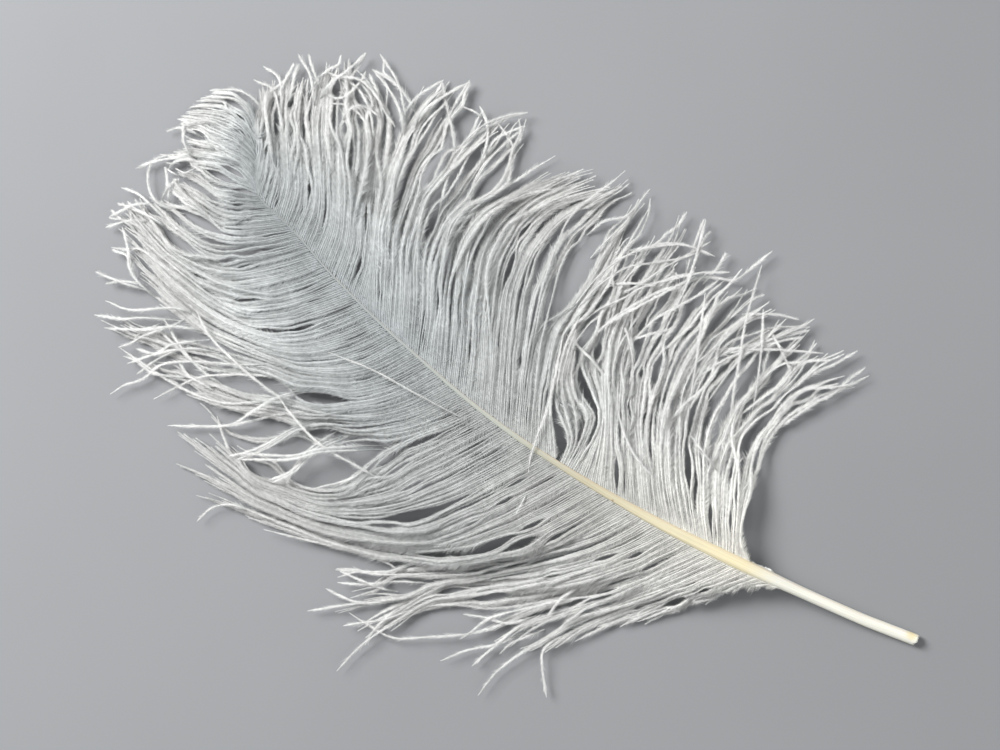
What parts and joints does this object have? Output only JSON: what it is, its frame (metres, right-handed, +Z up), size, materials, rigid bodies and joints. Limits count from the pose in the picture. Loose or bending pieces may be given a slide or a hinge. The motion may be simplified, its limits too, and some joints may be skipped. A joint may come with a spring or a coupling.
{
  "type": "ostrich feather",
  "caption": "Loose white ostrich plume lying flat: a bare ivory quill, a curved tapering shaft and long soft barbs parted into locks, with a hooked tip.",
  "frame": {"origin": "middle of the feather's outline, on the surface it lies on", "axes": "+X from the cut end of the quill towards the tip, +Y to the feather's left seen from above, +Z up out of the surface"},
  "size_m": [0.3041, 0.188, 0.0149],
  "materials": {
    "horn": "ivory to cream keratin, satin, greyer towards the tip",
    "barbs": "soft white down, bluish grey close to the shaft"
  },
  "bodies": {
    "root": {"shaft": "horn", "left_lock_1": "barbs", "left_lock_2": "barbs", "left_lock_3": "barbs", "left_lock_4": "barbs", "left_lock_5": "barbs", "left_lock_6": "barbs", "right_lock_1": "barbs", "right_lock_2": "barbs", "right_lock_3": "barbs", "right_lock_4": "barbs", "right_lock_5": "barbs", "right_lock_6": "barbs", "tip_plume": "barbs"}
  },
  "joints": []
}
